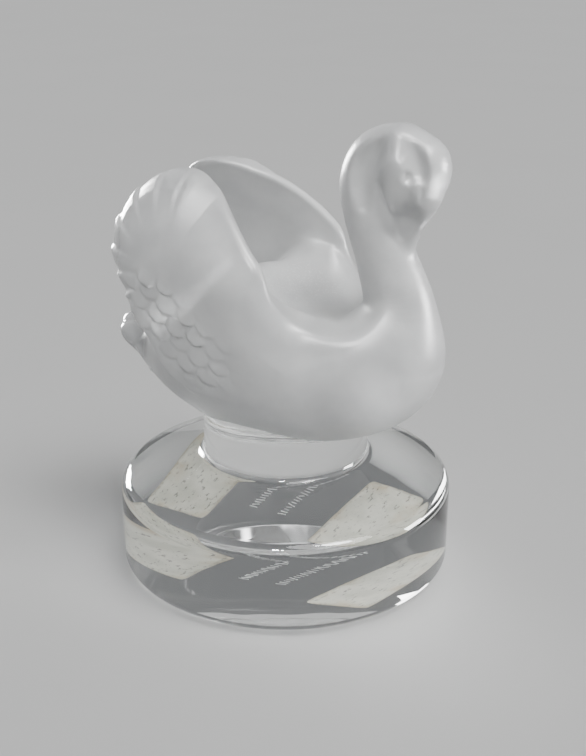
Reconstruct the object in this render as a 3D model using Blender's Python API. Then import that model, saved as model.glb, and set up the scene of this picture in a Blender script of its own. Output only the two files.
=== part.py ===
"""Pressed crystal swan with raised wings, on a short clear stem and a round clear base.

The swan is a field of signed distances, so that wings, neck and body run into each other with the
soft fillets of a pressing. The stem and the base are one turned profile, joined to the swan.
X is the way the swan swims, Y its left, Z up. The ground is at zero.
"""

import bpy
import bmesh
import numpy as np

MM = 0.001

# Base and stem, in millimetres
BASE_RADIUS = 22.0
WALL_HEIGHT = 10.0
SHOULDER_ROUND = 2.0
EDGE_ROUND = 1.1
TOP_RISE = 4.6
STEM_RADIUS = 10.8
STEM_HEIGHT = 2.8
FOOT_ROUND = 1.5
STEM_IN_SWAN = 7.4
ROUND_STEPS = 72

# Adhesive pads under the base
PAD_THICKNESS = 0.25
PAD_GAP = 0.3
PAD_WIDTH = 8.4
PAD_LENGTH = 16.4
PAD_CENTRE = 10.6
PAD_CORNER = 0.5

# Swan. The tables below give its figure in millimetres for a swan of this length.
FIGURE_LENGTH = 47.0
SWAN_LENGTH = 47.0
AXIS_AHEAD = 1.55

UNDERSIDE = PAD_THICKNESS + PAD_GAP
BELLY = UNDERSIDE + WALL_HEIGHT + TOP_RISE + STEM_HEIGHT
SCALE = SWAN_LENGTH / FIGURE_LENGTH

# Grid for the field, in figure millimetres
CELL = 0.42
MOST_TRIANGLES = 6800

# Ellipsoids of the body: centre x, centre z, half length, half breadth, half height, lean in degrees.
# The saddle before the neck is a round trough across the swan: centre x, centre z, radius.
HULL = (0.5, 10.6, 18.6, 13.1, 10.6, 0.0)
BREAST = (11.3, 13.2, 9.5, 8.7, 8.5, 0.0)
SHOULDERS = (-0.5, 15.0, 9.6, 12.4, 7.2, -6.0)
BACK_HOLLOW = (5.5, 27.0, 13.0, 9.4, 9.6, -12.0)
SADDLE = (9.9, 24.2, 6.4)
RUMP = (-13.8, 8.8, 7.6, 5.8, 4.2, -12.0)
TAIL = (-18.7, 9.6, 6.5, 5.3, 2.0, -20.0)
HEAD = (17.3, 35.8, 3.9, 3.5, 4.6, -14.0)
TAIL_RIDGE = 0.46
TAIL_RIDGE_ANGLE = 15.0

# Rods, by stations x, y, z and radius
NECK = (
    (14.4, 0.0, 13.6, 6.3),
    (15.7, 0.0, 19.1, 4.5),
    (14.1, 0.0, 24.6, 3.7),
    (11.95, 0.0, 30.1, 3.35),
    (11.05, 0.0, 34.2, 3.25),
    (12.4, 0.0, 37.2, 3.4),
    (15.2, 0.0, 38.0, 3.6),
    (17.5, 0.0, 36.8, 3.7),
)
BILL = ((17.5, 0.0, 32.8, 2.5), (16.75, 0.0, 30.2, 1.8), (16.2, 0.0, 27.4, 1.3), (15.6, 0.0, 25.6, 1.2))

# Carving of the face, on each side: hollows, then ridges
TEMPLE = (
    (12.4, 4.1, 32.6, 1.4),
    (12.1, 4.2, 35.2, 2.0),
    (12.9, 4.3, 38.0, 2.1),
    (15.4, 4.4, 40.0, 2.1),
    (17.7, 4.0, 39.3, 1.8),
    (18.6, 3.7, 37.9, 1.5),
    (19.1, 3.3, 36.4, 0.8),
)
BILL_SIDE = ((17.3, 3.5, 31.5, 1.4), (17.1, 3.25, 30.7, 2.1), (16.95, 3.0, 29.9, 1.9))
CHEEK = (15.95, 36.0, 1.9, 1.9, 5.0, 7.0)
CHEEK_SIDE = 1.8
BILL_RIDGE = (
    (18.45, 2.9, 35.7, 0.35),
    (18.5, 3.0, 34.9, 0.5),
    (18.45, 2.9, 34.1, 0.5),
    (18.3, 2.5, 33.3, 0.35),
)
EYE = ((16.7, 3.35, 36.2, 0.45), (16.75, 3.35, 36.1, 0.45))

# Wings: discs along the middle of each one in side view, x, y, z and radius
WING = (
    (-11.4, 0.0, 26.1, 8.3),
    (-8.5, 0.0, 23.4, 9.4),
    (-4.8, 0.0, 20.0, 9.1),
    (2.2, 0.0, 16.2, 6.6),
    (6.6, 0.0, 13.1, 4.6),
)
WING_HEEL = ((-6.2, 0.0, 20.2, 8.8), (-4.6, 0.0, 16.0, 8.0))
WING_SPREAD = 11.3
WING_CUP_HEIGHT = 21.6
WING_CUP = 0.041
WING_TOE_IN = 0.0062
WING_FOOT_HEIGHT = 11.5
WING_FOOT_IN = 0.035
WING_FRONT_IN = 0.045
WING_EDGE = 1.0
WING_MIDDLE = 1.9
WING_ROUND = 0.85
WING_BULGE = 0.5
EDGE_REACH = 2.6
LEADING_ROUND = 1.5
LEADING_REACH = 3.4
FEATHERS = 7
FEATHER_FROM = 92.0
FEATHER_TO = 228.0
FEATHER_CENTRE = (-9.6, 23.6)
FEATHER_BEVEL = 0.6
BEVEL_WIDTH = 1.6
SCALLOP = 0.24
GROOVE = 0.5
GROOVE_REACH = 2.4
FEATHER_STEP = 0.16

# Where the relief, the trailing edge and the scallops come in or end: start and width, counted in
# feathers, the scallops in degrees
RELIEF_IN = (-0.5, 0.7)
TRAILING_IN = (-1.5, 1.25)
TRAILING_OUT = (8.6, 2.6)
SCALLOPS_IN = (105.0, 30.0)

# Softness of the joins
BREAST_BLEND = 4.0
SHOULDER_BLEND = 2.0
RUMP_BLEND = 5.0
TAIL_BLEND = 1.6
HOLLOW_BLEND = 2.5
SADDLE_BLEND = 2.0
NECK_BLEND = 2.4
BILL_BLEND = 1.2
HEAD_BLEND = 0.8
CHEEK_BLEND = 1.2
CARVING_BLEND = 0.6
BILL_SIDE_BLEND = 1.0
RIDGE_BLEND = 0.4

# Fillet of the wings: everywhere, more ahead, and most inside the hollow
WING_FILLET = (0.7, 1.6, 5.0)
HOLLOW_EDGE = (9.6, 0.8)
HOLLOW_FLOOR = (15.0, 2.0)
AHEAD = (-3.0, 3.0)
HOLLOW_AHEAD = (-5.0, 3.0)
TAIL_ROOT = -8.0
TAIL_FAN = (-17.5, 1.5)

LOW = (-28.0, -16.0, -2.0)
HIGH = (24.0, 16.0, 44.0)


def smooth_union(a, b, k):
    h = np.clip(0.5 + 0.5 * (b - a) / k, 0.0, 1.0)
    return b + (a - b) * h - k * h * (1.0 - h)


def smooth_cut(a, b, k):
    return -smooth_union(-a, b, k)


def step(t):
    """Soft step from nought to one, half way at nought."""
    return 0.5 + 0.5 * np.tanh(t)


def ramp(value, start, width):
    """Straight climb from nought to one."""
    return np.clip((value - start) / width, 0.0, 1.0)


def ellipsoid(x, y, z, sizes):
    cx, cz, a, b, c, lean = sizes
    cos, sin = np.cos(np.radians(lean)), np.sin(np.radians(lean))
    px = (x - cx) * cos + (z - cz) * sin
    pz = (z - cz) * cos - (x - cx) * sin
    k0 = np.sqrt((px / a) ** 2 + (y / b) ** 2 + (pz / c) ** 2) + 1e-6
    k1 = np.sqrt((px / a**2) ** 2 + (y / b**2) ** 2 + (pz / c**2) ** 2) + 1e-6
    return np.maximum(k0 * (k0 - 1.0) / k1, -min(a, b, c))


def curve(stations, steps):
    """Smooth curve through the stations."""
    p = np.array(stations)
    p = np.vstack([2 * p[0] - p[1], p, 2 * p[-1] - p[-2]])
    t = np.linspace(0.0, 1.0, steps, endpoint=False)[:, None]
    out = []
    for a, b, c, d in zip(p[:-3], p[1:-2], p[2:-1], p[3:]):
        cubic = 3 * b - a - 3 * c + d
        out.append(0.5 * (2 * b + (c - a) * t + (2 * a - 5 * b + 4 * c - d) * t**2 + cubic * t**3))
    return np.vstack(out + [p[-2:-1]])


def rod(x, y, z, stations, steps=8):
    """Distance to a round rod whose radius varies. Away from it the value is only a large one."""
    line = curve(stations, steps)
    reach = line[:, 3].max() + 4.0
    shape = np.broadcast(x, y, z).shape
    best = np.full(shape, 4.0)
    near = []
    for axis, values in enumerate((x, y, z)):
        flat = values.ravel()
        if flat.size == 1:
            near.append(slice(None))
            continue
        hit = np.nonzero((flat > line[:, axis].min() - reach) & (flat < line[:, axis].max() + reach))[0]
        near.append(slice(hit[0], hit[-1] + 1))
    px, py, pz = x[near[0]], y[:, near[1]], z[:, :, near[2]]
    part = best[tuple(near)]
    for (ax, ay, az, ar), (bx, by, bz, br) in zip(line[:-1], line[1:]):
        dx, dy, dz = bx - ax, by - ay, bz - az
        length = dx * dx + dy * dy + dz * dz
        t = np.clip(((px - ax) * dx + (py - ay) * dy + (pz - az) * dz) / length, 0.0, 1.0)
        gap = (px - ax - t * dx) ** 2 + (py - ay - t * dy) ** 2 + (pz - az - t * dz) ** 2
        np.minimum(part, np.sqrt(gap) - (ar + t * (br - ar)), out=part)
    return best


def wing(x, y, z):
    """Cupped shell, pillowed along its leading edge and bevelled along its trailing one, where the
    ends of the long feathers overlap. It is the same on each side."""
    plane = np.zeros((1, 1, 1))
    outline = np.minimum(rod(x, plane, z, WING), rod(x, plane, z, WING_HEEL))
    turn = np.degrees(np.arctan2(z - FEATHER_CENTRE[1], x - FEATHER_CENTRE[0])) % 360.0
    count = (turn - FEATHER_FROM) / (FEATHER_TO - FEATHER_FROM) * FEATHERS
    share = count % 1.0
    rise = np.minimum(share / FEATHER_STEP, (1.0 - share) / (1.0 - FEATHER_STEP))
    ends = ramp(count, *RELIEF_IN) * (1.0 - ramp(count, FEATHERS - 0.7, 0.7))
    trailing = ramp(count, *TRAILING_IN) * (1.0 - ramp(count, *TRAILING_OUT))
    depth = np.maximum(-outline, 0.0)
    fade = ends * np.exp(-((depth / GROOVE_REACH) ** 2))
    lower = ramp(turn, *SCALLOPS_IN)
    outline = outline + SCALLOP * (0.5 - rise) * fade * lower
    above = np.maximum(z - WING_CUP_HEIGHT, 0.0)
    behind = np.maximum(1.0 - x, 0.0)
    spread = WING_SPREAD - WING_CUP * above**2 - WING_TOE_IN * behind**2
    spread = spread - WING_FOOT_IN * np.maximum(WING_FOOT_HEIGHT - z, 0.0) ** 2
    spread = spread - WING_FRONT_IN * np.maximum(x, 0.0) ** 2
    slope = np.sqrt(1.0 + (2 * WING_CUP * above) ** 2 + (2 * WING_TOE_IN * behind) ** 2)
    across = (np.abs(y) - spread) / slope
    inner = WING_MIDDLE - (WING_MIDDLE - WING_EDGE) * np.exp(-((depth / EDGE_REACH) ** 2))
    pillow = LEADING_ROUND * np.exp(-((depth / LEADING_REACH) ** 2))
    bevel = FEATHER_BEVEL * ends * np.maximum(1.0 - depth / BEVEL_WIDTH, 0.0)
    outer = WING_MIDDLE + WING_BULGE - pillow * (1.0 - trailing) - bevel
    outer = outer - GROOVE * (1.0 - rise) * fade
    edge = outline + WING_ROUND
    face = np.where(across > 0.0, across - outer, -across - inner) + WING_ROUND
    corner = np.sqrt(np.maximum(edge, 0.0) ** 2 + np.maximum(face, 0.0) ** 2)
    return np.minimum(np.maximum(edge, face), 0.0) + corner - WING_ROUND


def swan(x, y, z):
    side = np.abs(y)
    body = smooth_union(ellipsoid(x, y, z, HULL), ellipsoid(x, y, z, BREAST), BREAST_BLEND)
    body = smooth_union(body, ellipsoid(x, y, z, SHOULDERS), SHOULDER_BLEND)
    body = smooth_union(body, ellipsoid(x, y, z, RUMP), RUMP_BLEND)
    spoke = np.degrees(np.arctan2(y, TAIL_ROOT - x))
    fan = step((TAIL_FAN[0] - x) / TAIL_FAN[1])
    ridge = TAIL_RIDGE * np.abs(np.cos(np.pi * spoke / TAIL_RIDGE_ANGLE)) * fan
    body = smooth_union(body, ellipsoid(x, y, z, TAIL) + 0.5 * TAIL_RIDGE - ridge, TAIL_BLEND)
    inner = step((HOLLOW_EDGE[0] - side) / HOLLOW_EDGE[1])
    inner = inner * step((z - HOLLOW_FLOOR[0]) / HOLLOW_FLOOR[1])
    inner = inner * step((x - HOLLOW_AHEAD[0]) / HOLLOW_AHEAD[1])
    ahead = step((x - AHEAD[0]) / AHEAD[1])
    fillet = WING_FILLET[0] + WING_FILLET[1] * ahead + WING_FILLET[2] * inner
    body = smooth_union(body, wing(x, y, z), fillet)
    body = smooth_cut(body, ellipsoid(x, y, z, BACK_HOLLOW), HOLLOW_BLEND)
    saddle = np.hypot(x - SADDLE[0], z - SADDLE[1]) - SADDLE[2]
    body = smooth_cut(body, saddle, SADDLE_BLEND)
    body = smooth_union(body, rod(x, y, z, NECK), NECK_BLEND)
    head = smooth_union(ellipsoid(x, y, z, HEAD), rod(x, y, z, BILL), BILL_BLEND)
    body = smooth_union(body, head, HEAD_BLEND)
    body = smooth_cut(body, rod(x, side, z, TEMPLE), CARVING_BLEND)
    body = smooth_union(body, ellipsoid(x, side - CHEEK_SIDE, z, CHEEK), CHEEK_BLEND)
    body = smooth_cut(body, rod(x, side, z, BILL_SIDE), BILL_SIDE_BLEND)
    for path in (BILL_RIDGE, EYE):
        body = smooth_union(body, rod(x, side, z, path), RIDGE_BLEND)
    return body


def settled(value, cell):
    """Fills grid points until no two skins touch inside one cell."""
    while True:
        inside = value < 0.0
        fill = np.zeros(inside.shape, bool)
        for axis in range(3):
            across, ahead = ((1, 2), (0, 2), (0, 1))[axis]
            corners = []
            for du, dv in ((0, 0), (1, 0), (1, 1), (0, 1)):
                cut = [slice(None)] * 3
                cut[across] = slice(du, inside.shape[across] - 1 + du)
                cut[ahead] = slice(dv, inside.shape[ahead] - 1 + dv)
                corners.append(tuple(cut))
            a, b, c, d = (inside[cut] for cut in corners)
            clash = (a & c & ~b & ~d) | (b & d & ~a & ~c)
            for cut in corners:
                fill[cut] |= clash
        steps = [(i, j, k) for i in (0, 1) for j in (0, 1) for k in (0, 1)]
        cuts = [tuple(slice(o, n - 1 + o) for o, n in zip(s, inside.shape)) for s in steps]
        count = sum(inside[cut].astype(np.int8) for cut in cuts)
        for near, far in zip(cuts[:4], cuts[:3:-1]):
            alone = (count == 2) & inside[near] & inside[far]
            alone |= (count == 6) & ~inside[near] & ~inside[far]
            for cut in cuts:
                fill[cut] |= alone
        fill &= ~inside
        if not fill.any():
            return value
        value = np.where(fill, -0.05 * cell, value)


def field(cell):
    """The swan's field on a grid whose middle row lies in the plane of symmetry."""
    axes = []
    for low, high in zip(LOW, HIGH):
        axes.append(np.arange(round(low / cell), round(high / cell) + 1) * cell)
    x, y, z = np.ix_(*axes)
    return settled(swan(x, y, z), cell), np.array([a[0] for a in axes])


def skin(value, low, cell):
    """Points and quads round the zero level: one point in a crossed cell, one quad on a crossed edge."""
    inside = value < 0.0
    cells = np.array(value.shape) - 1
    count = np.zeros(cells, np.int8)
    total = np.zeros((*cells, 3))
    for axis in range(3):
        for first in ((0, 0), (0, 1), (1, 0), (1, 1)):
            start = list(first)
            start.insert(axis, 0)
            end = list(first)
            end.insert(axis, 1)
            here = tuple(slice(s, s + n) for s, n in zip(start, cells))
            there = tuple(slice(s, s + n) for s, n in zip(end, cells))
            crossed = inside[here] != inside[there]
            fall = np.where(crossed, value[here] - value[there], 1.0)
            share = value[here] / fall
            count += crossed
            for m in range(3):
                place = start[m] + (share if m == axis else 0.0)
                total[..., m] += np.where(crossed, place, 0.0)
    used = count > 0
    index = np.full(cells, -1)
    index[used] = np.arange(int(used.sum()))
    points = low + cell * (np.argwhere(used) + total[used] / count[used][:, None])
    quads = []
    for axis in range(3):
        u, v = ((1, 2), (2, 0), (0, 1))[axis]
        here = np.take(inside, range(value.shape[axis] - 1), axis)
        there = np.take(inside, range(1, value.shape[axis]), axis)
        edges = np.argwhere(here != there)
        outward = here[tuple(edges.T)]
        ring = []
        for du, dv in ((1, 1), (0, 1), (0, 0), (1, 0)):
            around = edges.copy()
            around[:, u] -= du
            around[:, v] -= dv
            ring.append(index[tuple(around.T)])
        ring = np.stack(ring, 1)
        ring[~outward] = ring[~outward][:, ::-1]
        quads.append(ring)
    return points, np.vstack(quads)


def turned_profile():
    """Radius and height up the base and the stem, from the underside's middle to the stem's top."""
    flat = BASE_RADIUS - EDGE_ROUND
    wall = UNDERSIDE + WALL_HEIGHT
    foot = STEM_RADIUS + FOOT_ROUND
    slope = 0.0
    for _ in range(20):
        rise = TOP_RISE - SHOULDER_ROUND * np.cos(slope)
        run = BASE_RADIUS - SHOULDER_ROUND * (1.0 - np.sin(slope)) - foot + FOOT_ROUND * np.sin(slope)
        slope = np.arctan2(rise, run)
    points = [(0.0, UNDERSIDE)]
    for t in np.linspace(-90.0, 0.0, 6):
        t = np.radians(t)
        points.append((flat + EDGE_ROUND * np.cos(t), UNDERSIDE + EDGE_ROUND * (1.0 + np.sin(t))))
    for t in np.linspace(0.0, np.pi / 2 - slope, 7):
        across = BASE_RADIUS - SHOULDER_ROUND * (1.0 - np.cos(t))
        points.append((across, wall + SHOULDER_ROUND * np.sin(t)))
    middle = wall + TOP_RISE + FOOT_ROUND * np.cos(slope)
    for turn in np.linspace(-np.pi / 2 - slope, -np.pi, 5):
        points.append((foot + FOOT_ROUND * np.cos(turn), middle + FOOT_ROUND * np.sin(turn)))
    points.append((STEM_RADIUS, BELLY + STEM_IN_SWAN))
    points.append((0.0, BELLY + STEM_IN_SWAN))
    return points


def new_object(name, mesh, colour, roughness, clear):
    material = bpy.data.materials.new(name)
    material.use_nodes = True
    shader = material.node_tree.nodes["Principled BSDF"]
    shader.inputs["Base Color"].default_value = (*colour, 1.0)
    shader.inputs["Roughness"].default_value = roughness
    shader.inputs["Transmission Weight"].default_value = clear
    shader.inputs["IOR"].default_value = 1.54
    mesh.materials.append(material)
    thing = bpy.data.objects.new(name, mesh)
    bpy.context.scene.collection.objects.link(thing)
    return thing


def swan_mesh():
    value, low = field(CELL)
    points, quads = skin(value, low, CELL)
    points = (points * SCALE + np.array([AXIS_AHEAD, 0.0, BELLY])) * MM
    mesh = bpy.data.meshes.new("swan")
    mesh.from_pydata(points.tolist(), [], quads.tolist())
    mesh.shade_smooth()
    return mesh


def turned_mesh():
    bm = bmesh.new()
    rings = []
    for radius, height in turned_profile():
        if radius == 0.0:
            rings.append([bm.verts.new((AXIS_AHEAD * MM, 0.0, height * MM))])
            continue
        ring = []
        for i in range(ROUND_STEPS):
            turn = 2 * np.pi * i / ROUND_STEPS
            across = AXIS_AHEAD + radius * np.cos(turn)
            ring.append(bm.verts.new((across * MM, radius * np.sin(turn) * MM, height * MM)))
        rings.append(ring)
    for lower, upper in zip(rings[:-1], rings[1:]):
        for i in range(ROUND_STEPS):
            j = (i + 1) % ROUND_STEPS
            if len(lower) == 1:
                bm.faces.new((lower[0], upper[j], upper[i]))
            elif len(upper) == 1:
                bm.faces.new((lower[i], lower[j], upper[0]))
            else:
                bm.faces.new((lower[i], lower[j], upper[j], upper[i]))
    mesh = bpy.data.meshes.new("turned")
    bm.to_mesh(mesh)
    bm.free()
    mesh.shade_smooth()
    return mesh


def pad(name, side):
    """Thin pad with rounded corners, flat on the ground."""
    bm = bmesh.new()
    outline = []
    for sx, sy, start in ((1, 1, 0), (-1, 1, 90), (-1, -1, 180), (1, -1, 270)):
        for t in (0, 30, 60, 90):
            turn = np.radians(start + t)
            across = sx * (PAD_WIDTH / 2 - PAD_CORNER) + PAD_CORNER * np.cos(turn)
            along = sy * (PAD_LENGTH / 2 - PAD_CORNER) + PAD_CORNER * np.sin(turn)
            outline.append((AXIS_AHEAD + side * PAD_CENTRE + across, along))
    lower = [bm.verts.new((a * MM, b * MM, 0.0)) for a, b in outline]
    upper = [bm.verts.new((a * MM, b * MM, PAD_THICKNESS * MM)) for a, b in outline]
    bm.faces.new(lower[::-1])
    bm.faces.new(upper)
    for i in range(len(outline)):
        j = (i + 1) % len(outline)
        bm.faces.new((lower[i], lower[j], upper[j], upper[i]))
    mesh = bpy.data.meshes.new(name)
    bm.to_mesh(mesh)
    bm.free()
    return new_object(name, mesh, (0.62, 0.58, 0.48), 0.7, 0.0)


for thing in list(bpy.data.objects):
    bpy.data.objects.remove(thing, do_unlink=True)

base = new_object("turned_base", turned_mesh(), (0.95, 0.96, 0.96), 0.03, 1.0)
base.hide_render = True
base.display_type = "WIRE"

crystal = new_object("crystal_swan", swan_mesh(), (0.93, 0.95, 0.96), 0.45, 1.0)
thin = crystal.modifiers.new("fewer faces", "DECIMATE")
thin.use_collapse_triangulate = True
thin.ratio = min(1.0, MOST_TRIANGLES / (2 * len(crystal.data.polygons)))
join = crystal.modifiers.new("stem and base", "BOOLEAN")
join.operation = "UNION"
join.solver = "EXACT"
join.object = base

pad("pad_rear", -1)
pad("pad_front", 1)
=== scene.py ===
"""Looks of a pressed crystal swan: satin frost on the bird, clear polished glass in the stem and the
round base, and the two ivory pads that show through it.

Lengths are in millimetres. The swan has figure coordinates: x from the axis of the base, z from the
lowest point of its belly.
"""

import bpy
import bmesh
import numpy as np
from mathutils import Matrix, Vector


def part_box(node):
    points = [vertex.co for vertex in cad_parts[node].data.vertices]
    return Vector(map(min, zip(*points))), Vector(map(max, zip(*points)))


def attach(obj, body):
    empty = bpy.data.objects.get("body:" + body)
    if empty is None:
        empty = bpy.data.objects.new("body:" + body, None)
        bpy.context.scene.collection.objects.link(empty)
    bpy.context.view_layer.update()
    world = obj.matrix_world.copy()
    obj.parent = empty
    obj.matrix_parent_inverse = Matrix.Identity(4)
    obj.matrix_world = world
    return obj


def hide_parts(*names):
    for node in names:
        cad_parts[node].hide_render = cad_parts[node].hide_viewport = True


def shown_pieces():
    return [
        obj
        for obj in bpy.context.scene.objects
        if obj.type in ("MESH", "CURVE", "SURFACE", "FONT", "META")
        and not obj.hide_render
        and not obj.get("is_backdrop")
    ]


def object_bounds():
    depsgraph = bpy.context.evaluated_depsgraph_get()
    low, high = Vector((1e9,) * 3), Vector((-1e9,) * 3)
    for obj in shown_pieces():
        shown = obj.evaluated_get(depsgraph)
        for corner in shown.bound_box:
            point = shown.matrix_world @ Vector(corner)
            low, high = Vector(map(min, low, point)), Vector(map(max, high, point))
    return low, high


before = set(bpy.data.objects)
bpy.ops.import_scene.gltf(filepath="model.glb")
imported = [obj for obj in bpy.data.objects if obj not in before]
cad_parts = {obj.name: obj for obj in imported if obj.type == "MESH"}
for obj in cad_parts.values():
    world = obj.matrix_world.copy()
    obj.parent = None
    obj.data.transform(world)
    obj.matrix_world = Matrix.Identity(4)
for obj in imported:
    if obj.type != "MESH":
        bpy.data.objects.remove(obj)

MM = 0.001
cad_low, cad_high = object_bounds()
glass_low, glass_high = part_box("crystal_swan")
rear_low, rear_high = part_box("pad_rear")
front_low, front_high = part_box("pad_front")

# Base and stem
UNDERSIDE = glass_low.z / MM
BASE_RADIUS = (glass_high.y - glass_low.y) / 2 / MM
AXIS_AHEAD = (rear_low.x + front_high.x) / 2 / MM
WALL_HEIGHT = 10.0
SHOULDER_ROUND = 2.0
EDGE_ROUND = 1.1
TOP_RISE = 4.6
STEM_RADIUS = 10.8
STEM_HEIGHT = 2.8
FOOT_ROUND = 1.5
STEM_IN_SWAN = 7.4
BELLY = UNDERSIDE + WALL_HEIGHT + TOP_RISE + STEM_HEIGHT
TURNS = 256

# Grid for the skin of the swan, which is halved once
CELL = 0.5
LOW = (-28.0, 0.0, -2.0)
HIGH = (24.0, 16.0, 44.0)

# Ellipsoids of the body: centre x, centre z, half length, half breadth, half height, lean in degrees.
# The saddle before the neck is a round trough across the swan: centre x, centre z, radius.
HULL = (0.5, 10.6, 18.6, 13.1, 10.6, 0.0)
BREAST = (11.3, 13.2, 9.5, 8.7, 8.5, 0.0)
SHOULDERS = (-0.5, 15.0, 9.6, 12.4, 7.2, -6.0)
BACK_HOLLOW = (5.5, 27.0, 13.0, 9.4, 9.6, -12.0)
SADDLE = (9.9, 24.2, 6.4)
RUMP = (-13.8, 8.8, 7.6, 5.8, 4.2, -12.0)
TAIL = (-18.7, 9.6, 6.5, 5.3, 2.0, -20.0)
HEAD = (17.3, 35.8, 3.9, 3.5, 4.6, -14.0)
TAIL_RIDGE = 0.46
TAIL_RIDGE_ANGLE = 15.0

# Rods, by stations x, y, z and radius
NECK = (
    (14.4, 0.0, 13.6, 6.3),
    (15.7, 0.0, 19.1, 4.5),
    (14.1, 0.0, 24.6, 3.7),
    (11.95, 0.0, 30.1, 3.35),
    (11.05, 0.0, 34.2, 3.25),
    (12.4, 0.0, 37.2, 3.4),
    (15.2, 0.0, 38.0, 3.6),
    (17.5, 0.0, 36.8, 3.7),
)
BILL = ((17.5, 0.0, 32.8, 2.5), (16.75, 0.0, 30.2, 1.8), (16.2, 0.0, 27.4, 1.3), (15.6, 0.0, 25.6, 1.2))

# Carving of the face, on each side: hollows, then ridges
TEMPLE = (
    (12.4, 4.1, 32.6, 1.4),
    (12.1, 4.2, 35.2, 2.0),
    (12.9, 4.3, 38.0, 2.1),
    (15.4, 4.4, 40.0, 2.1),
    (17.7, 4.0, 39.3, 1.8),
    (18.6, 3.7, 37.9, 1.5),
    (19.1, 3.3, 36.4, 0.8),
)
BILL_SIDE = ((17.3, 3.5, 31.5, 1.4), (17.1, 3.25, 30.7, 2.1), (16.95, 3.0, 29.9, 1.9))
EYE_PIT = ((17.9, 3.75, 36.3, 0.7), (17.9, 3.75, 36.2, 0.7))
CHEEK = (15.95, 36.0, 1.9, 1.9, 5.0, 7.0)
CHEEK_SIDE = 1.8
BILL_RIDGE = (
    (18.45, 2.9, 35.7, 0.35),
    (18.5, 3.0, 34.9, 0.5),
    (18.45, 2.9, 34.1, 0.5),
    (18.3, 2.5, 33.3, 0.35),
)
EYE = ((16.7, 3.35, 36.2, 0.45), (16.75, 3.35, 36.1, 0.45))

# Small chip below the tail, on the right side only
CHIP = ((-17.4, -5.3, 7.1, 0.5), (-16.9, -5.9, 7.5, 0.55), (-16.5, -6.3, 8.1, 0.3))

# Wings: discs along the middle of each one in side view, x, y, z and radius
WING = (
    (-11.4, 0.0, 26.1, 8.3),
    (-8.5, 0.0, 23.4, 9.4),
    (-4.8, 0.0, 20.0, 9.1),
    (2.2, 0.0, 16.2, 6.6),
    (6.6, 0.0, 13.1, 4.6),
)
WING_HEEL = ((-6.2, 0.0, 20.2, 8.8), (-4.6, 0.0, 16.0, 8.0))
WING_SPREAD = 11.3
WING_CUP_HEIGHT = 21.6
WING_CUP = 0.041
WING_TOE_IN = 0.0062
WING_FOOT_HEIGHT = 11.5
WING_FOOT_IN = 0.035
WING_FRONT_IN = 0.045
WING_EDGE = 1.0
WING_MIDDLE = 1.9
WING_ROUND = 0.85
WING_BULGE = 0.5
EDGE_REACH = 2.6
LEADING_ROUND = 1.5
LEADING_REACH = 3.4
FEATHERS = 7
FEATHER_FROM = 92.0
FEATHER_TO = 228.0
FEATHER_CENTRE = (-9.6, 23.6)
FEATHER_BEVEL = 0.6
BEVEL_WIDTH = 1.6
SCALLOP = 0.24
GROOVE = 0.5
GROOVE_REACH = 2.4
FEATHER_STEP = 0.16

# Where the relief, the trailing edge and the scallops come in or end: start and width, counted in
# feathers, the scallops in degrees
RELIEF_IN = (-0.5, 0.7)
RELIEF_OUT = (FEATHERS - 0.7, 0.7)
TRAILING_IN = (-1.5, 1.25)
TRAILING_OUT = (8.6, 2.6)
SCALLOPS_IN = (105.0, 30.0)

# Softness of the joins
BREAST_BLEND = 4.0
SHOULDER_BLEND = 2.0
RUMP_BLEND = 5.0
TAIL_BLEND = 1.6
HOLLOW_BLEND = 2.5
SADDLE_BLEND = 2.0
NECK_BLEND = 2.4
BILL_BLEND = 1.2
HEAD_BLEND = 0.8
CHEEK_BLEND = 1.2
CARVING_BLEND = 0.6
BILL_SIDE_BLEND = 1.0
RIDGE_BLEND = 0.4

# Fillet of the wings: everywhere, more ahead, and most inside the hollow
WING_FILLET = (0.7, 1.6, 5.0)
HOLLOW_EDGE = (9.6, 0.8)
HOLLOW_FLOOR = (15.0, 2.0)
AHEAD = (-3.0, 3.0)
HOLLOW_AHEAD = (-5.0, 3.0)
TAIL_ROOT = -8.0
TAIL_FAN = (-17.5, 1.5)

# Small overlapping feathers low on the outside of each wing: the lowest row's start in side view, the
# direction of the rows, and each feather's width, spacing, height, curve, unevenness and fall. A dip
# runs along each free edge: depth, place and width.
SCALE_START = (-12.7, 9.6)
SCALE_TURN = -20.0
SCALE_ROWS = 7
SCALE_WIDTH = 3.1
SCALE_ROW = 1.9
SCALE_RISE = 0.36
SCALE_ARC = 0.4
SCALE_UNEVEN = 0.15
SCALE_FALL = 0.9
SCALE_DIP = (0.45, -0.12, 0.16)

# Band that they fill along the wing's heel, by a point on the heel and the direction across the band.
# Each limit is a place and the softness of the edge there.
HEEL = (-12.7, 15.6)
ACROSS_BAND = (0.62, 0.78)
BAND_FROM = (-0.8, 0.6)
BAND_TO = (6.6, 1.2)
BAND_START = (-5.5, 1.0)
BAND_END = (12.0, 1.5)

# Outline of each pad: points round it, how square it is, how uneven, and how its flecks are drawn out
PAD_POINTS = 160
PAD_SQUARENESS = 16
PAD_UNEVEN = 0.006
FLECK_STRETCH = (1.0, 0.35, 1.0)

# Strokes on the underside, in two rows between the pads
STROKE_ROWS = (-2.6, 1.0)
STROKES = 22
STROKE_PITCH = 0.58
STROKE_LENGTH = 1.1
STROKE_WIDTH = 0.13
STROKES_ASIDE = 3.3
STROKE_SLANT = 0.5
STROKE_SHORTEST = 0.55
STROKE_SEED = 5

# How far the pads and the strokes are set into the glass
BOND = 0.02
GLASS_IOR = 1.54

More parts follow.
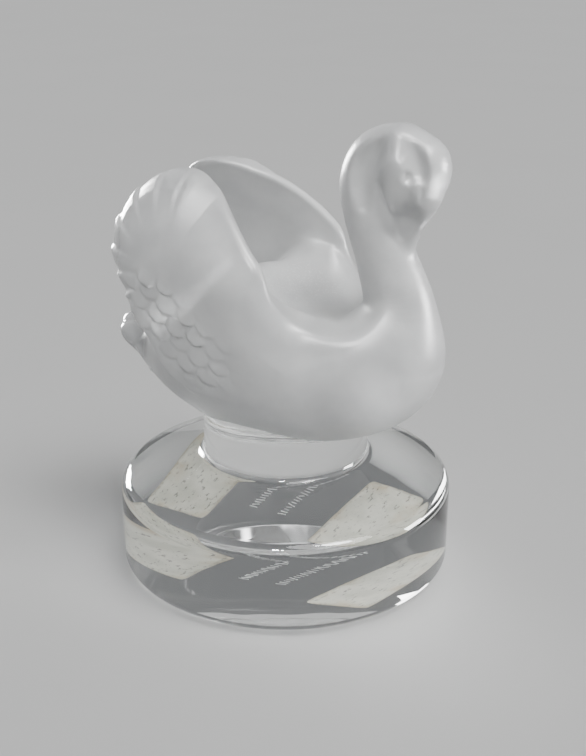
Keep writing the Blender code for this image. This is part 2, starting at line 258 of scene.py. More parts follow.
# Lamps: name, place, the point that each aims at, size and watts
LAMPS = (
    ("left_rear", (-280, 130, 75), (0, 0, 35), 90, 3.0),
    ("right_rear", (270, 150, 70), (0, 0, 35), 90, 1.6),
    ("above", (150, -30, 290), (-5, -8, 45), 80, 1.0),
    ("high_front", (80, -190, 240), (-8, -12, 45), 30, 0.8),
)
DAYLIGHT = 2.7
DAYLIGHT_SPREAD = 40.0
DAYLIGHT_TOWARDS = (-0.5, 0.1, -1.0)
ROOM_COLOUR = (0.80, 0.82, 0.84, 1.0)
ROOM_STRENGTH = 0.22


def smooth_union(a, b, k):
    h = np.clip(0.5 + 0.5 * (b - a) / k, 0.0, 1.0)
    return b + (a - b) * h - k * h * (1.0 - h)


def smooth_cut(a, b, k):
    return -smooth_union(-a, b, k)


def step(t):
    """Soft step from nought to one, half way at nought."""
    return 0.5 + 0.5 * np.tanh(t)


def ramp(value, start, width):
    """Straight climb from nought to one."""
    return np.clip((value - start) / width, 0.0, 1.0)


def ellipsoid(p, sizes):
    cx, cz, a, b, c, lean = sizes
    cos, sin = np.cos(np.radians(lean)), np.sin(np.radians(lean))
    x, z = p[:, 0] - cx, p[:, 2] - cz
    q = np.stack([x * cos + z * sin, p[:, 1], z * cos - x * sin], 1)
    half = np.array([a, b, c])
    k0 = np.linalg.norm(q / half, axis=1) + 1e-6
    k1 = np.linalg.norm(q / half**2, axis=1) + 1e-6
    return np.maximum(k0 * (k0 - 1.0) / k1, -min(a, b, c))


def curve(stations, steps=8):
    """Smooth curve through the stations."""
    p = np.array(stations)
    p = np.vstack([2 * p[0] - p[1], p, 2 * p[-1] - p[-2]])
    t = np.linspace(0.0, 1.0, steps, endpoint=False)[:, None]
    out = []
    for a, b, c, d in zip(p[:-3], p[1:-2], p[2:-1], p[3:]):
        cubic = 3 * b - a - 3 * c + d
        out.append(0.5 * (2 * b + (c - a) * t + (2 * a - 5 * b + 4 * c - d) * t**2 + cubic * t**3))
    return np.vstack(out + [p[-2:-1]])


def rod(p, stations):
    """Distance to a round rod whose radius varies. Away from it the value is only a large one."""
    line = curve(stations)
    reach = line[:, 3].max() + 4.0
    best = np.full(len(p), 4.0)
    close = (p > line[:, :3].min(0) - reach) & (p < line[:, :3].max(0) + reach)
    near = np.nonzero(close.all(1))[0]
    q = p[near]
    part = best[near]
    for a, b in zip(line[:-1], line[1:]):
        along = b[:3] - a[:3]
        t = np.clip((q - a[:3]) @ along / (along @ along), 0.0, 1.0)
        gap = np.linalg.norm(q - a[:3] - t[:, None] * along, axis=1)
        np.minimum(part, gap - (a[3] + t * (b[3] - a[3])), out=part)
    best[near] = part
    return best


def small_feathers(x, z):
    """Height of the overlapping small feathers: at most one, at a free edge, and below nought in the
    dip beyond it. Each free edge bulges outwards, and the row further in lies on top."""
    cos, sin = np.cos(np.radians(SCALE_TURN)), np.sin(np.radians(SCALE_TURN))
    along = (x - SCALE_START[0]) * cos + (z - SCALE_START[1]) * sin
    inward = (z - SCALE_START[1]) * cos - (x - SCALE_START[0]) * sin
    height = np.zeros(len(x))
    for j in range(SCALE_ROWS):
        place = along / SCALE_WIDTH + 0.5 * (j % 2) + SCALE_UNEVEN * np.sin(3.0 * j)
        share = place % 1.0
        number = np.floor(place)
        arc = SCALE_ARC * (2.0 * share - 1.0) ** 2
        behind = inward / SCALE_ROW - j - arc - SCALE_UNEVEN * np.sin(4.0 * number + j)
        size = 0.7 + 0.3 * np.sin(5.0 * number + 2.0 * j)
        tip = size * np.clip(1.6 * (1.0 - (2.0 * share - 1.0) ** 2), 0.0, 1.0)
        height = np.where(behind >= 0.0, np.maximum(1.0 - SCALE_FALL * behind, 0.0) * tip, height)
        dip = np.exp(-(((behind - SCALE_DIP[1]) / SCALE_DIP[2]) ** 2))
        height = height - SCALE_DIP[0] * tip * dip
    slant = (x - HEEL[0]) * ACROSS_BAND[0] + (z - HEEL[1]) * ACROSS_BAND[1]
    down = (x - HEEL[0]) * ACROSS_BAND[1] - (z - HEEL[1]) * ACROSS_BAND[0]
    window = step((slant - BAND_FROM[0]) / BAND_FROM[1]) * step((BAND_TO[0] - slant) / BAND_TO[1])
    window = window * step((down - BAND_START[0]) / BAND_START[1])
    return height * window * step((BAND_END[0] - down) / BAND_END[1])


def wing(p):
    """Cupped shell, pillowed along its leading edge and bevelled along its trailing one, where the
    ends of the long feathers overlap. It is the same on each side."""
    x, y, z = p.T
    flat = p * np.array([1.0, 0.0, 1.0])
    outline = np.minimum(rod(flat, WING), rod(flat, WING_HEEL))
    turn = np.degrees(np.arctan2(z - FEATHER_CENTRE[1], x - FEATHER_CENTRE[0])) % 360.0
    count = (turn - FEATHER_FROM) / (FEATHER_TO - FEATHER_FROM) * FEATHERS
    share = count % 1.0
    rise = np.minimum(share / FEATHER_STEP, (1.0 - share) / (1.0 - FEATHER_STEP))
    ends = ramp(count, *RELIEF_IN) * (1.0 - ramp(count, *RELIEF_OUT))
    trailing = ramp(count, *TRAILING_IN) * (1.0 - ramp(count, *TRAILING_OUT))
    depth = np.maximum(-outline, 0.0)
    fade = ends * np.exp(-((depth / GROOVE_REACH) ** 2))
    lower = ramp(turn, *SCALLOPS_IN)
    outline = outline + SCALLOP * (0.5 - rise) * fade * lower
    above = np.maximum(z - WING_CUP_HEIGHT, 0.0)
    behind = np.maximum(1.0 - x, 0.0)
    spread = WING_SPREAD - WING_CUP * above**2 - WING_TOE_IN * behind**2
    spread = spread - WING_FOOT_IN * np.maximum(WING_FOOT_HEIGHT - z, 0.0) ** 2
    spread = spread - WING_FRONT_IN * np.maximum(x, 0.0) ** 2
    slope = np.sqrt(1.0 + (2 * WING_CUP * above) ** 2 + (2 * WING_TOE_IN * behind) ** 2)
    across = (np.abs(y) - spread) / slope
    inner = WING_MIDDLE - (WING_MIDDLE - WING_EDGE) * np.exp(-((depth / EDGE_REACH) ** 2))
    pillow = LEADING_ROUND * np.exp(-((depth / LEADING_REACH) ** 2))
    bevel = FEATHER_BEVEL * ends * np.maximum(1.0 - depth / BEVEL_WIDTH, 0.0)
    outer = WING_MIDDLE + WING_BULGE - pillow * (1.0 - trailing) - bevel
    outer = outer - GROOVE * (1.0 - rise) * fade + SCALE_RISE * small_feathers(x, z)
    edge = outline + WING_ROUND
    face = np.where(across > 0.0, across - outer, -across - inner) + WING_ROUND
    corner = np.hypot(np.maximum(edge, 0.0), np.maximum(face, 0.0))
    return np.minimum(np.maximum(edge, face), 0.0) + corner - WING_ROUND


def swan(p):
    """Signed distance to the swan's skin, near the skin."""
    x, y, z = p.T
    side = np.abs(y)
    right = np.stack([x, side, z], 1)
    body = smooth_union(ellipsoid(p, HULL), ellipsoid(p, BREAST), BREAST_BLEND)
    body = smooth_union(body, ellipsoid(p, SHOULDERS), SHOULDER_BLEND)
    body = smooth_union(body, ellipsoid(p, RUMP), RUMP_BLEND)
    spoke = np.degrees(np.arctan2(y, TAIL_ROOT - x))
    fan = step((TAIL_FAN[0] - x) / TAIL_FAN[1])
    ridge = TAIL_RIDGE * np.abs(np.cos(np.pi * spoke / TAIL_RIDGE_ANGLE)) * fan
    body = smooth_union(body, ellipsoid(p, TAIL) + 0.5 * TAIL_RIDGE - ridge, TAIL_BLEND)
    inner = step((HOLLOW_EDGE[0] - side) / HOLLOW_EDGE[1])
    inner = inner * step((z - HOLLOW_FLOOR[0]) / HOLLOW_FLOOR[1])
    inner = inner * step((x - HOLLOW_AHEAD[0]) / HOLLOW_AHEAD[1])
    ahead = step((x - AHEAD[0]) / AHEAD[1])
    fillet = WING_FILLET[0] + WING_FILLET[1] * ahead + WING_FILLET[2] * inner
    body = smooth_union(body, wing(p), fillet)
    body = smooth_cut(body, ellipsoid(p, BACK_HOLLOW), HOLLOW_BLEND)
    saddle = np.hypot(x - SADDLE[0], z - SADDLE[1]) - SADDLE[2]
    body = smooth_cut(body, saddle, SADDLE_BLEND)
    body = smooth_union(body, rod(p, NECK), NECK_BLEND)
    head = smooth_union(ellipsoid(p, HEAD), rod(p, BILL), BILL_BLEND)
    body = smooth_union(body, head, HEAD_BLEND)
    body = smooth_cut(body, rod(right, TEMPLE), CARVING_BLEND)
    outward = np.stack([x, side - CHEEK_SIDE, z], 1)
    body = smooth_union(body, ellipsoid(outward, CHEEK), CHEEK_BLEND)
    body = smooth_cut(body, rod(right, BILL_SIDE), BILL_SIDE_BLEND)
    for path in (BILL_RIDGE, EYE):
        body = smooth_union(body, rod(right, path), RIDGE_BLEND)
    body = smooth_cut(body, rod(right, EYE_PIT), RIDGE_BLEND)
    return np.maximum(body, -rod(p, CHIP))


def settled(value, cell):
    """Fills grid points until no two skins touch inside one cell."""
    while True:
        inside = value < 0.0
        fill = np.zeros(inside.shape, bool)
        for axis in range(3):
            across, ahead = ((1, 2), (0, 2), (0, 1))[axis]
            corners = []
            for du, dv in ((0, 0), (1, 0), (1, 1), (0, 1)):
                cut = [slice(None)] * 3
                cut[across] = slice(du, inside.shape[across] - 1 + du)
                cut[ahead] = slice(dv, inside.shape[ahead] - 1 + dv)
                corners.append(tuple(cut))
            a, b, c, d = (inside[cut] for cut in corners)
            clash = (a & c & ~b & ~d) | (b & d & ~a & ~c)
            for cut in corners:
                fill[cut] |= clash
        steps = [(i, j, k) for i in (0, 1) for j in (0, 1) for k in (0, 1)]
        cuts = [tuple(slice(o, n - 1 + o) for o, n in zip(s, inside.shape)) for s in steps]
        count = sum(inside[cut].astype(np.int8) for cut in cuts)
        for near, far in zip(cuts[:4], cuts[:3:-1]):
            alone = (count == 2) & inside[near] & inside[far]
            alone |= (count == 6) & ~inside[near] & ~inside[far]
            for cut in cuts:
                fill[cut] |= alone
        fill &= ~inside
        if not fill.any():
            return value
        value = np.where(fill, -0.05 * cell, value)


def field(cell):
    """The swan's field on a grid: one half is worked out, and the other is its mirror image."""
    axes = []
    for low, high in zip(LOW, HIGH):
        axes.append(np.arange(round(low / cell), round(high / cell) + 1) * cell)
    grid = np.stack(np.meshgrid(*axes, indexing="ij"), 3).reshape(-1, 3)
    half = swan(grid).reshape([len(a) for a in axes])
    value = np.concatenate([half[:, :0:-1], half], 1)
    return settled(value, cell), np.array([axes[0][0], -axes[1][-1], axes[2][0]])


def skin(value, low, cell):
    """Points and quads round the zero level: one point in a crossed cell, one quad on a crossed edge."""
    inside = value < 0.0
    cells = np.array(value.shape) - 1
    count = np.zeros(cells, np.int8)
    total = np.zeros((*cells, 3))
    for axis in range(3):
        for first in ((0, 0), (0, 1), (1, 0), (1, 1)):
            start = list(first)
            start.insert(axis, 0)
            end = list(first)
            end.insert(axis, 1)
            here = tuple(slice(s, s + n) for s, n in zip(start, cells))
            there = tuple(slice(s, s + n) for s, n in zip(end, cells))
            crossed = inside[here] != inside[there]
            fall = np.where(crossed, value[here] - value[there], 1.0)
            share = value[here] / fall
            count += crossed
            for m in range(3):
                place = start[m] + (share if m == axis else 0.0)
                total[..., m] += np.where(crossed, place, 0.0)
    used = count > 0
    index = np.full(cells, -1)
    index[used] = np.arange(int(used.sum()))
    points = low + cell * (np.argwhere(used) + total[used] / count[used][:, None])
    quads = []
    for axis in range(3):
        u, v = ((1, 2), (2, 0), (0, 1))[axis]
        here = np.take(inside, range(value.shape[axis] - 1), axis)
        there = np.take(inside, range(1, value.shape[axis]), axis)
        edges = np.argwhere(here != there)
        outward = here[tuple(edges.T)]
        ring = []
        for du, dv in ((1, 1), (0, 1), (0, 0), (1, 0)):
            around = edges.copy()
            around[:, u] -= du
            around[:, v] -= dv
            ring.append(index[tuple(around.T)])
        ring = np.stack(ring, 1)
        ring[~outward] = ring[~outward][:, ::-1]
        quads.append(ring)
    return points, np.vstack(quads)


def halved(points, quads):
    """Each quad parted into four, at its middle and the middles of its sides."""
    sides = np.sort(np.stack([quads, np.roll(quads, -1, 1)], 2).reshape(-1, 2), 1)
    single, which = np.unique(sides, axis=0, return_inverse=True)
    middle = which.reshape(-1, 4) + len(points)
    centre = np.arange(len(quads)) + len(points) + len(single)
    parts = [np.stack([quads[:, i], middle[:, i], centre, middle[:, i - 1]], 1) for i in range(4)]
    return np.vstack([points, points[single].mean(1), points[quads].mean(1)]), np.vstack(parts)


def drawn_to_skin(points, cell):
    """The points moved along the field's slope until they lie on the skin."""
    reach = 0.02
    corners = np.array([[1, 1, 1], [1, -1, -1], [-1, 1, -1], [-1, -1, 1]]) * reach
    for _ in range(4):
        values = np.stack([swan(points + corner) for corner in corners], 1)
        slope = values @ corners / (4 * reach**2)
        steepness = (slope**2).sum(1) + 1e-6
        move = -(values.mean(1) / steepness)[:, None] * slope
        length = np.linalg.norm(move, axis=1)[:, None] + 1e-9
        points = points + move * np.minimum(1.0, 0.2 * cell / length)
    return points


def new_object(name, mesh, *materials):
    for material in materials:
        mesh.materials.append(material)
    thing = bpy.data.objects.new(name, mesh)
    bpy.context.scene.collection.objects.link(thing)
    return thing


def finished_mesh(thing):
    """The object's mesh with its modifiers worked in, for a plain object without any."""
    depsgraph = bpy.context.evaluated_depsgraph_get()
    mesh = bpy.data.meshes.new_from_object(thing.evaluated_get(depsgraph), depsgraph=depsgraph)
    thing.modifiers.clear()
    return mesh


class Value:
    """A socket of a node tree that takes part in sums."""

    def __init__(self, graph, socket):
        self.graph = graph
        self.socket = socket

    def __add__(self, other):
        return self.graph.maths("ADD", self, other)

    def __radd__(self, other):
        return self.graph.maths("ADD", other, self)

    def __sub__(self, other):
        return self.graph.maths("SUBTRACT", self, other)

    def __rsub__(self, other):
        return self.graph.maths("SUBTRACT", other, self)

    def __mul__(self, other):
        return self.graph.maths("MULTIPLY", self, other)

    def __rmul__(self, other):
        return self.graph.maths("MULTIPLY", other, self)

    def __truediv__(self, other):
        return self.graph.maths("DIVIDE", self, other)


class Graph:
    """Builds one node tree, of a material or of geometry."""

    def __init__(self, tree):
        self.tree = tree
        tree.nodes.clear()

    def node(self, kind, settings=None, sockets=None):
        made = self.tree.nodes.new(kind)
        for name, value in (settings or {}).items():
            setattr(made, name, value)
        for name, value in (sockets or {}).items():
            if isinstance(value, Value):
                self.tree.links.new(value.socket, made.inputs[name])
            else:
                made.inputs[name].default_value = value
        return made

    def value(self, kind, output, settings=None, sockets=None):
        return Value(self, self.node(kind, settings, sockets).outputs[output])

    def maths(self, operation, *values):
        return self.value("ShaderNodeMath", 0, {"operation": operation}, dict(enumerate(values)))

    def soft(self, value, low, high):
        """Nought at low and one at high, with soft ends."""
        sockets = {"Value": value, "From Min": low, "From Max": high}
        return self.value("ShaderNodeMapRange", 0, {"interpolation_type": "SMOOTHSTEP"}, sockets)

    def mixed(self, share, a, b):
        """Colour a where the share is nought, b where it is one."""
        made = self.node("ShaderNodeMix", {"data_type": "RGBA"}, {0: share})
        for socket, colour in zip((made.inputs[6], made.inputs[7]), (a, b)):
            if isinstance(colour, Value):
                self.tree.links.new(colour.socket, socket)
            else:
                socket.default_value = (*colour, 1.0)
        return Value(self, made.outputs[2])


class Finish(Graph):
    """A material with one Principled shader, and patterns on Object coordinates in millimetres."""

    def __init__(self, name, constants):
        self.material = bpy.data.materials.new(name)
        self.material.use_nodes = True
        super().__init__(self.material.node_tree)
        self.shader = self.node("ShaderNodeBsdfPrincipled")
        for socket, value in constants.items():
            self.shader.inputs[socket].default_value = value
        out = self.node("ShaderNodeOutputMaterial")
        self.tree.links.new(self.shader.outputs[0], out.inputs["Surface"])
        metres = self.value("ShaderNodeTexCoord", "Object")
        scaled = {"operation": "SCALE"}
        self.place = self.value("ShaderNodeVectorMath", 0, scaled, {0: metres, "Scale": 1 / MM})
        parts = self.node("ShaderNodeSeparateXYZ", sockets={0: self.place})
        self.x, self.y, self.z = (Value(self, parts.outputs[i]) for i in range(3))

    def noise(self, size, detail=2.0, rough=0.5, place=None):
        """Cloudy noise whose grains are about that many millimetres."""
        sockets = {"Vector": place or self.place, "Scale": 1 / size, "Detail": detail, "Roughness": rough}
        return self.value("ShaderNodeTexNoise", 0, sockets=sockets)

    def feed(self, socket, value):
        self.tree.links.new(value.socket, self.shader.inputs[socket])

    def bump(self, height, strength, depth):
        """Relief that is only shaded, its depth in millimetres."""
        sockets = {"Height": height, "Strength": strength, "Distance": depth * MM}
        self.feed("Normal", self.value("ShaderNodeBump", 0, sockets=sockets))


def frosted_crystal():
    """Acid satin: a fine even grain, coarser in the hollow of the back, where its glitter is painted as pale
    flecks of colour (painted glints), and worn smooth on the tail and along the wings' trailing edges."""
    half_clear = {"Transmission Weight": 0.55, "IOR": GLASS_IOR, "Specular IOR Level": 0.7}
    finish = Finish("frosted_crystal", half_clear)
    x = finish.x - AXIS_AHEAD
    z = finish.z - BELLY
    cloud = finish.noise(5.0, 3.0)
    grain = finish.noise(0.16, 2.0, 0.7)
    glitter = finish.noise(0.3, 3.0, 0.8)
    tail = finish.soft(x, -17.0, -20.5)
    trailing = finish.soft(x, -16.0, -18.8) * finish.soft(z, 15.0, 17.0)
    hollow = finish.soft(z, 17.0, 19.0) * finish.soft(z, 24.0, 20.0)
    hollow = hollow * finish.soft(x, -5.0, -1.0) * finish.soft(x, 8.0, 5.0)
    hollow = hollow * finish.soft(finish.maths("ABSOLUTE", finish.y), 9.0, 5.0)
    worn = finish.maths("MAXIMUM", tail * 0.8, trailing * 0.5)
    # Spots of coarse grain in the hollow: a little smoother there, and painted glints as pale flecks in the
    # colour
    grain_spots_and_painted_glints = finish.soft(glitter, 0.5, 0.75) * hollow
    rough = 0.34 + 0.10 * (cloud - 0.5) + 0.06 * (grain - 0.5) - 0.26 * worn - 0.08 * grain_spots_and_painted_glints
    finish.feed("Roughness", rough)
    satin = finish.mixed(finish.soft(cloud, 0.3, 0.7), (0.47, 0.475, 0.48), (0.57, 0.575, 0.575))
    # Pale flecks in the hollow are painted glints of the glittering grain
    finish.feed("Base Color", finish.mixed(grain_spots_and_painted_glints * 0.8, satin, (0.86, 0.87, 0.87)))
    finish.bump(grain * (1.0 - worn) + glitter * hollow * 0.8, 0.35, 0.03)
    return finish.material


def polished_crystal():
    """Clear glass, fire polished, with the slow ripple of a pressing and faint handling smears."""
    clear = {"Transmission Weight": 1.0, "IOR": GLASS_IOR, "Base Color": (0.98, 0.99, 0.985, 1.0)}
    finish = Finish("polished_crystal", clear)
    smear = finish.soft(finish.noise(3.2, 4.0, 0.6), 0.55, 0.75)
    finish.feed("Roughness", 0.004 + 0.03 * smear)
    finish.bump(finish.noise(7.0, 1.0), 0.25, 0.05)
    return finish.material


def ivory_pad():
    """Ivory adhesive pad, stained towards its outline and worn along it, with dark flecks where it has
    lost its hold."""
    finish = Finish("ivory_pad", {"Specular IOR Level": 0.3})
    pad_centre = AXIS_AHEAD - (rear_low.x + rear_high.x) / 2 / MM
    across = finish.maths("ABSOLUTE", finish.maths("ABSOLUTE", finish.x - AXIS_AHEAD) - pad_centre)
    ragged = finish.noise(1.1, 4.0, 0.7) - 0.5
    half_width = (rear_high.x - rear_low.x) / 2 / MM
    half_length = (rear_high.y - rear_low.y) / 2 / MM
    inset = finish.maths("MINIMUM", half_width - across, half_length - finish.maths("ABSOLUTE", finish.y))
    rim = finish.soft(inset + 1.6 * ragged, 0.45, 0.0)
    sockets = {0: finish.place, 1: FLECK_STRETCH}
    stretched = finish.value("ShaderNodeVectorMath", 0, {"operation": "MULTIPLY"}, sockets)
    fleck = finish.soft(finish.noise(0.5, 5.0, 0.75, stretched), 0.565, 0.64)
    stain = finish.soft(finish.noise(4.5, 3.0), 0.46, 0.66) * finish.soft(inset, 2.6, 0.3)
    patchy = finish.soft(finish.noise(3.5, 3.0), 0.35, 0.65)
    ivory = finish.mixed(patchy, (0.50, 0.50, 0.43), (0.62, 0.615, 0.54))
    aged = finish.mixed(stain * 0.7, ivory, (0.40, 0.31, 0.19))
    worn = finish.mixed(rim * 0.8, aged, (0.30, 0.27, 0.21))
    finish.feed("Base Color", finish.mixed(fleck * 0.85, worn, (0.13, 0.125, 0.11)))
    finish.feed("Roughness", 0.62 + 0.2 * finish.noise(0.4))
    finish.bump(finish.noise(0.35, 3.0), 0.4, 0.05)
    return finish.material


def etched_mark():
    """White etched glass of the strokes under the base."""
    finish = Finish("etched_mark", {"Specular IOR Level": 0.4})
    tint = finish.soft(finish.noise(0.5), 0.35, 0.65)
    finish.feed("Base Color", finish.mixed(tint, (0.55, 0.56, 0.55), (0.78, 0.79, 0.78)))
    finish.feed("Roughness", 0.6 + 0.2 * tint)
    finish.bump(finish.noise(0.12), 0.4, 0.02)
    return finish.material


def pale_floor():
    finish = Finish("pale_floor", {"Specular IOR Level": 0.3})
    finish.feed("Base Color", finish.mixed(finish.noise(60.0), (0.68, 0.68, 0.675), (0.71, 0.71, 0.705)))
    finish.feed("Roughness", 0.55 + 0.05 * finish.noise(20.0))
    return finish.material


def turned_profile():
    """Radius and height up the base and the stem, from the underside's middle to the stem's top."""
    flat = BASE_RADIUS - EDGE_ROUND
    wall = UNDERSIDE + WALL_HEIGHT
    foot = STEM_RADIUS + FOOT_ROUND
    slope = 0.0
    for _ in range(20):
        rise = TOP_RISE - SHOULDER_ROUND * np.cos(slope)
        run = BASE_RADIUS - SHOULDER_ROUND * (1.0 - np.sin(slope)) - foot + FOOT_ROUND * np.sin(slope)
        slope = np.arctan2(rise, run)
    points = [(0.0, UNDERSIDE)]
    for t in np.radians(np.linspace(-90.0, 0.0, 13)):
        points.append((flat + EDGE_ROUND * np.cos(t), UNDERSIDE + EDGE_ROUND * (1.0 + np.sin(t))))
    for t in np.linspace(0.0, np.pi / 2 - slope, 15):
        across = BASE_RADIUS - SHOULDER_ROUND * (1.0 - np.cos(t))
        points.append((across, wall + SHOULDER_ROUND * np.sin(t)))
    middle = wall + TOP_RISE + FOOT_ROUND * np.cos(slope)
    for turn in np.linspace(-np.pi / 2 - slope, -np.pi, 9):
        points.append((foot + FOOT_ROUND * np.cos(turn), middle + FOOT_ROUND * np.sin(turn)))
    points.append((STEM_RADIUS, BELLY + STEM_IN_SWAN))
    points.append((0.0, BELLY + STEM_IN_SWAN))
    return points


def geometry_tree(name, **inputs):
    """A tree with a geometry input and output and those named inputs, and its graph."""
    tree = bpy.data.node_groups.new(name, "GeometryNodeTree")
    tree.interface.new_socket("Geometry", in_out="INPUT", socket_type="NodeSocketGeometry")
    tree.interface.new_socket("Geometry", in_out="OUTPUT", socket_type="NodeSocketGeometry")
    for label, value in inputs.items():
        kind = {int: "NodeSocketInt", float: "NodeSocketFloat"}[type(value)]
        tree.interface.new_socket(label, in_out="INPUT", socket_type=kind)
    graph = Graph(tree)
    source = graph.node("NodeGroupInput")
    sockets = {label: Value(graph, source.outputs[label]) for label in ("Geometry", *inputs)}
    return graph, sockets


def ended(graph, geometry, material):
    """The tree's last nodes."""
    real = graph.value("GeometryNodeRealizeInstances", 0, sockets={"Geometry": geometry})
    sockets = {"Geometry": real, "Material": material}
    shown = graph.value("GeometryNodeSetMaterial", 0, sockets=sockets)
    graph.node("NodeGroupOutput", sockets={"Geometry": shown})


def grown(thing, graph, **inputs):
    """The mesh that the tree makes of the object, with those values at the tree's inputs."""
    modifier = thing.modifiers.new("growth", "NODES")
    modifier.node_group = graph.tree
    for item in graph.tree.interface.items_tree:
        if item.in_out == "INPUT" and item.name in inputs:
            modifier[item.identifier] = inputs[item.name]
    return finished_mesh(thing)


def lathe(material):
    """Tree that turns a profile of points, in the XZ plane, once round Z."""
    graph, given = geometry_tree("lathe", Turns=TURNS, Points=2)
    sizes = {"Size X": 1.0, "Size Y": 1.0, "Vertices X": given["Turns"] + 1.0, "Vertices Y": given["Points"]}
    sheet = graph.value("GeometryNodeMeshGrid", "Mesh", sockets=sizes)
    position = graph.value("GeometryNodeInputPosition", 0)
    parts = graph.node("ShaderNodeSeparateXYZ", sockets={0: position})
    share, row = (Value(graph, parts.outputs[i]) + 0.5 for i in range(2))
    row = graph.maths("ROUND", row * (given["Points"] - 1.0))
    sockets = {"Geometry": given["Geometry"], "Index": row, "Value": position}
    point = graph.node("GeometryNodeSampleIndex", {"data_type": "FLOAT_VECTOR"}, sockets)
    turned = {"Vector": Value(graph, point.outputs[0]), "Angle": share * (2 * np.pi)}
    place = graph.value("ShaderNodeVectorRotate", 0, {"rotation_type": "Z_AXIS"}, turned)
    moved = graph.value("GeometryNodeSetPosition", 0, sockets={"Geometry": sheet, "Position": place})
    shut = graph.value("GeometryNodeMergeByDistance", 0, sockets={"Geometry": moved, "Distance": 1e-6})
    ended(graph, shut, material)
    return graph


def turned_base(material):
    """Base and stem as one turned shape, closed at both ends."""
    profile = bpy.data.meshes.new("profile")
    points = turned_profile()
    corners = [(radius * MM, 0.0, height * MM) for radius, height in points]
    profile.from_pydata(corners, [(i, i + 1) for i in range(len(points) - 1)], [])
    guide = new_object("turned_base", profile)
    mesh = grown(guide, lathe(material), Turns=TURNS, Points=len(points))
    bpy.data.objects.remove(guide)
    bm = bmesh.new()
    bm.from_mesh(mesh)
    bmesh.ops.recalc_face_normals(bm, faces=bm.faces)
    bmesh.ops.translate(bm, verts=bm.verts, vec=(AXIS_AHEAD * MM, 0.0, 0.0))
    bm.to_mesh(mesh)
    bm.free()
    return new_object("base", mesh)


def swan_mesh():
    """The swan's skin in the row frame, in metres."""
    value, low = field(CELL)
    points, quads = skin(value, low, CELL)
    points, quads = halved(points, quads)
    points = drawn_to_skin(points, CELL)
    points = (points + np.array([AXIS_AHEAD, 0.0, BELLY])) * MM
    points = np.clip(points, np.array(cad_low), np.array(cad_high))
    mesh = bpy.data.meshes.new("swan")
    mesh.from_pydata(points.tolist(), [], quads.tolist())
    return mesh


def crystal():
    """The whole casting, joined into one closed skin with two finishes."""
    piece = new_object("crystal_casting", swan_mesh(), frosted_crystal())
    base = turned_base(polished_crystal())
    join = piece.modifiers.new("stem and base", "BOOLEAN")
    join.operation = "UNION"
    join.solver = "EXACT"
    join.material_mode = "TRANSFER"
    join.object = base
    piece.data = finished_mesh(piece)
    bpy.data.objects.remove(base)
    piece.data.shade_smooth()
    piece.data.set_sharp_from_angle(angle=np.radians(40.0))
    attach(piece, "root")
    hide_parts("crystal_swan")


def ragged_pad(name, node, material):
    """Thin pad with a slightly uneven outline, whose top is bonded into the glass."""
    low, high = (np.array(corner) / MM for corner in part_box(node))
    middle, half = (low + high) / 2, (high - low) / 2
    turn = np.linspace(0.0, 2 * np.pi, PAD_POINTS, endpoint=False)
    corners = np.abs(np.cos(turn)) ** PAD_SQUARENESS + np.abs(np.sin(turn)) ** PAD_SQUARENESS
    squared = corners ** (-1 / PAD_SQUARENESS)
    uneven = 1.0 - PAD_UNEVEN * (1.0 + np.sin(9 * turn + 1.0) * np.sin(4 * turn))
    x = middle[0] + half[0] * np.cos(turn) * squared * uneven
    y = middle[1] + half[1] * np.sin(turn) * squared * uneven
    bm = bmesh.new()
    lower = [bm.verts.new((a * MM, b * MM, 0.0)) for a, b in zip(x, y)]
    upper = [bm.verts.new((a * MM, b * MM, (UNDERSIDE + BOND) * MM)) for a, b in zip(x, y)]
    bm.faces.new(lower[::-1])
    bm.faces.new(upper)
    for i in range(PAD_POINTS):
        j = (i + 1) % PAD_POINTS
        bm.faces.new((lower[i], lower[j], upper[j], upper[i]))
    mesh = bpy.data.meshes.new(name)
    bm.to_mesh(mesh)
    bm.free()
    piece = new_object(name, mesh, material)
    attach(piece, "root")
    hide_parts(node)


def stroke_rows(material):
    """Tree that sets a row of short slanted strokes, each a little different, along Y."""
    inputs = {"Strokes": STROKES, "Pitch": 1.0, "Length": 1.0, "Width": 1.0, "Seed": STROKE_SEED}
    graph, given = geometry_tree("stroke_row", **inputs)
    step_along = graph.value("ShaderNodeCombineXYZ", 0, sockets={"Y": given["Pitch"]})
    line = {"Count": given["Strokes"], "Offset": step_along}
    points = graph.value("GeometryNodeMeshLine", 0, {"mode": "OFFSET"}, line)
    size = {"X": given["Length"], "Y": given["Width"], "Z": 3 * BOND * MM}
    bar = {"Size": graph.value("ShaderNodeCombineXYZ", 0, sockets=size)}
    stroke = graph.value("GeometryNodeMeshCube", "Mesh", sockets=bar)
    slant = graph.node("FunctionNodeRandomValue", {"data_type": "FLOAT"}, {"Seed": given["Seed"]})
    slant.inputs[2].default_value = -STROKE_SLANT
    slant.inputs[3].default_value = STROKE_SLANT
    turn = graph.value("ShaderNodeCombineXYZ", 0, sockets={"Z": Value(graph, slant.outputs[1])})
    stretch = graph.node("FunctionNodeRandomValue", {"data_type": "FLOAT"}, {"Seed": given["Seed"] + 1.0})
    stretch.inputs[2].default_value = STROKE_SHORTEST
    stretch.inputs[3].default_value = 1.0
    scale = {"X": Value(graph, stretch.outputs[1]), "Y": 1.0, "Z": 1.0}
    set_out = {
        "Points": points,
        "Instance": stroke,
        "Rotation": turn,
        "Scale": graph.value("ShaderNodeCombineXYZ", 0, sockets=scale),
    }
    strokes = graph.value("GeometryNodeInstanceOnPoints", 0, sockets=set_out)
    ended(graph, strokes, material)
    return graph


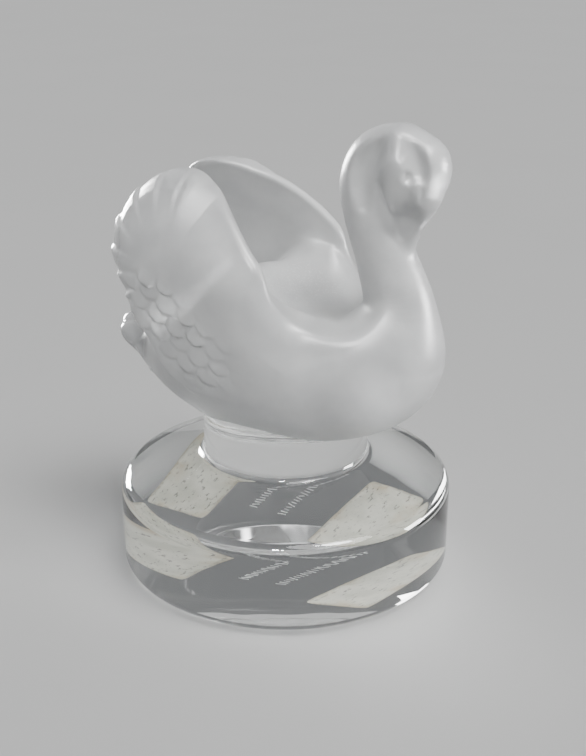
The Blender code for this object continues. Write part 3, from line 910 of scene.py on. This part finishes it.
def underside_strokes():
    """Two rows of shallow strokes in the place of an inscription."""
    material = etched_mark()
    graph = stroke_rows(material)
    bm = bmesh.new()
    for number, across in enumerate(STROKE_ROWS):
        guide = new_object("row", bpy.data.meshes.new("row"))
        sizes = {"Pitch": STROKE_PITCH * MM, "Length": STROKE_LENGTH * MM, "Width": STROKE_WIDTH * MM}
        mesh = grown(guide, graph, Strokes=STROKES, Seed=STROKE_SEED + number, **sizes)
        first = STROKES_ASIDE - STROKE_PITCH * (STROKES - 1) / 2
        place = np.array([AXIS_AHEAD + across, first, UNDERSIDE]) * MM
        for vertex in mesh.vertices:
            vertex.co = [a + b for a, b in zip(vertex.co, place)]
        bm.from_mesh(mesh)
        bpy.data.objects.remove(guide)
    joined = bpy.data.meshes.new("underside_strokes")
    bm.to_mesh(joined)
    bm.free()
    piece = new_object("underside_strokes", joined, material)
    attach(piece, "root")


def floor():
    mesh = bpy.data.meshes.new("floor")
    bm = bmesh.new()
    bmesh.ops.create_circle(bm, cap_ends=True, segments=96, radius=4.0)
    bm.to_mesh(mesh)
    bm.free()
    new_object("floor", mesh, pale_floor())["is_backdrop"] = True


def lamp(name, place, aim, size, watts, lit):
    """Soft square lamp at a place in millimetres, turned to the point that it aims at. It lights the
    objects of one collection alone, so that the floor stays even."""
    light = bpy.data.lights.new(name, "AREA")
    light.size = size * MM
    light.energy = watts
    thing = bpy.data.objects.new(name, light)
    thing.location = np.array(place) * MM
    away = thing.location - (Vector(aim) * MM)
    thing.rotation_euler = away.to_track_quat("Z", "Y").to_euler()
    thing.visible_camera = False
    thing.light_linking.receiver_collection = lit
    bpy.context.scene.collection.objects.link(thing)


def daylight(energy, spread, towards):
    """Even soft light over the whole floor."""
    light = bpy.data.lights.new("daylight", "SUN")
    light.energy = energy
    light.angle = np.radians(spread)
    thing = bpy.data.objects.new("daylight", light)
    thing.rotation_euler = Vector(towards).to_track_quat("-Z", "Y").to_euler()
    bpy.context.scene.collection.objects.link(thing)


def studio():
    """Soft even light from above and a grey room, with lamps on the figurine alone: one behind on
    each side, one above, and a small one high in front."""
    world = bpy.data.worlds.new("room")
    world.use_nodes = True
    background = world.node_tree.nodes["Background"]
    background.inputs["Color"].default_value = ROOM_COLOUR
    background.inputs["Strength"].default_value = ROOM_STRENGTH
    bpy.context.scene.world = world
    pieces = bpy.data.collections.new("figurine")
    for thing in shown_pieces():
        pieces.objects.link(thing)
    daylight(DAYLIGHT, DAYLIGHT_SPREAD, DAYLIGHT_TOWARDS)
    for settings in LAMPS:
        lamp(*settings, pieces)


def camera():
    """The photograph's view: its lens, and the camera's place about the base's axis."""
    azimuth, elevation = np.radians(28.0), np.radians(22.0)
    focal_pixels, long_side = 1200.0, 756.0
    distance, aim_right, aim_height = 157.0, 1.0, 25.15
    across, flat = np.array([np.cos(azimuth), np.sin(azimuth), 0.0]), np.cos(elevation)
    back = np.array([np.sin(azimuth) * flat, -np.cos(azimuth) * flat, np.sin(elevation)])
    target = np.array([AXIS_AHEAD, 0.0, aim_height]) + aim_right * across
    data = bpy.data.cameras.new("camera")
    data.lens = data.sensor_width * focal_pixels / long_side
    data.clip_start = 0.005
    data.clip_end = 20.0
    thing = bpy.data.objects.new("camera", data)
    thing.location = (target + distance * back) * MM
    thing.rotation_euler = Vector(back).to_track_quat("Z", "Y").to_euler()
    bpy.context.scene.collection.objects.link(thing)
    bpy.context.scene.camera = thing


crystal()
pad_finish = ivory_pad()
ragged_pad("ivory_pad_rear", "pad_rear", pad_finish)
ragged_pad("ivory_pad_front", "pad_front", pad_finish)
underside_strokes()
floor()
studio()
camera()
